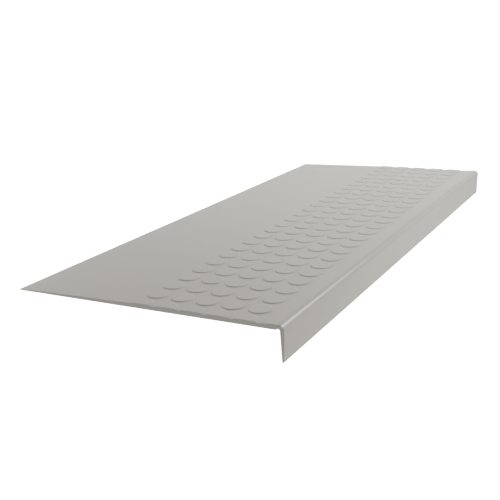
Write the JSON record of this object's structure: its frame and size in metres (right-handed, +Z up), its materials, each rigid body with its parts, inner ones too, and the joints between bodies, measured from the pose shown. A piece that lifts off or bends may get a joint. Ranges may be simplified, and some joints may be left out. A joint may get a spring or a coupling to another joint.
{
  "type": "stair tread mat",
  "caption": "Moulded rubber stair tread mat with low round studs, a plain rear that thins to its back edge, and a square nose flap that turns down over the edge of a step.",
  "frame": {"origin": "on the flat underside that lies on the step, at the middle of the mat's whole length and whole depth", "axes": "+X along the step from end to end, -Y out over the nose, +Y back towards the riser, +Z up"},
  "size_m": [0.762, 0.324, 0.0372],
  "materials": {
    "rubber": "matt moulded rubber in light warm grey, with a fine even grain and softly rounded stud rims"
  },
  "bodies": {
    "root": {"stair_tread": "rubber"}
  },
  "joints": []
}
